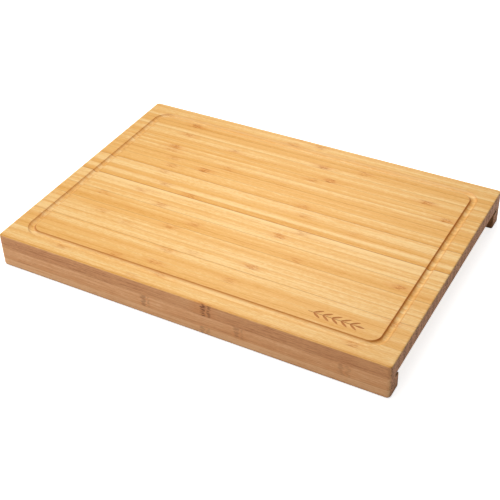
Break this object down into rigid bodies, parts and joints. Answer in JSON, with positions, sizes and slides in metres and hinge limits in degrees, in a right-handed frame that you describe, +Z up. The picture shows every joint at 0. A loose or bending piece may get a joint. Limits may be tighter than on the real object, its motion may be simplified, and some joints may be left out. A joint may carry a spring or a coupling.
{
  "type": "cutting board",
  "caption": "Rectangular bamboo cutting board glued up from edge-laminated strips, with a juice groove round the top and a raised rail with a tray track along the front and the rear.",
  "frame": {"origin": "on the table under the middle of the board, at the height of the rails' feet", "axes": "+X along the bamboo strips, towards the end with the burned mark; +Y to the rear edge; +Z up"},
  "size_m": [0.432, 0.304, 0.038],
  "materials": {
    "bamboo_strip": "oiled, satin",
    "bamboo_rail_base": "oiled, satin",
    "bamboo_rail_riser": "oiled, satin",
    "bamboo_ledge": "oiled, satin"
  },
  "bodies": {
    "root": {"front_rail_base": "bamboo_rail_base", "front_rail_riser": "bamboo_rail_riser", "front_track_ledge": "bamboo_ledge", "rear_rail_base": "bamboo_rail_base", "rear_rail_riser": "bamboo_rail_riser", "rear_track_ledge": "bamboo_ledge", "strip_01": "bamboo_strip", "strip_02": "bamboo_strip", "strip_03": "bamboo_strip", "strip_04": "bamboo_strip", "strip_05": "bamboo_strip", "strip_06": "bamboo_strip", "strip_07": "bamboo_strip", "strip_08": "bamboo_strip", "strip_09": "bamboo_strip", "strip_10": "bamboo_strip", "strip_11": "bamboo_strip", "strip_12": "bamboo_strip", "strip_13": "bamboo_strip", "strip_14": "bamboo_strip", "strip_15": "bamboo_strip", "strip_16": "bamboo_strip", "strip_17": "bamboo_strip", "strip_18": "bamboo_strip", "strip_19": "bamboo_strip", "strip_20": "bamboo_strip", "strip_21": "bamboo_strip", "strip_22": "bamboo_strip", "strip_23": "bamboo_strip", "strip_24": "bamboo_strip", "strip_25": "bamboo_strip", "strip_26": "bamboo_strip", "strip_27": "bamboo_strip", "strip_28": "bamboo_strip", "strip_29": "bamboo_strip", "strip_30": "bamboo_strip", "strip_31": "bamboo_strip", "strip_32": "bamboo_strip", "strip_33": "bamboo_strip", "strip_34": "bamboo_strip", "strip_35": "bamboo_strip", "strip_36": "bamboo_strip", "strip_37": "bamboo_strip", "strip_38": "bamboo_strip", "strip_39": "bamboo_strip", "strip_40": "bamboo_strip", "strip_41": "bamboo_strip", "strip_42": "bamboo_strip", "strip_43": "bamboo_strip", "strip_44": "bamboo_strip"}
  },
  "joints": []
}
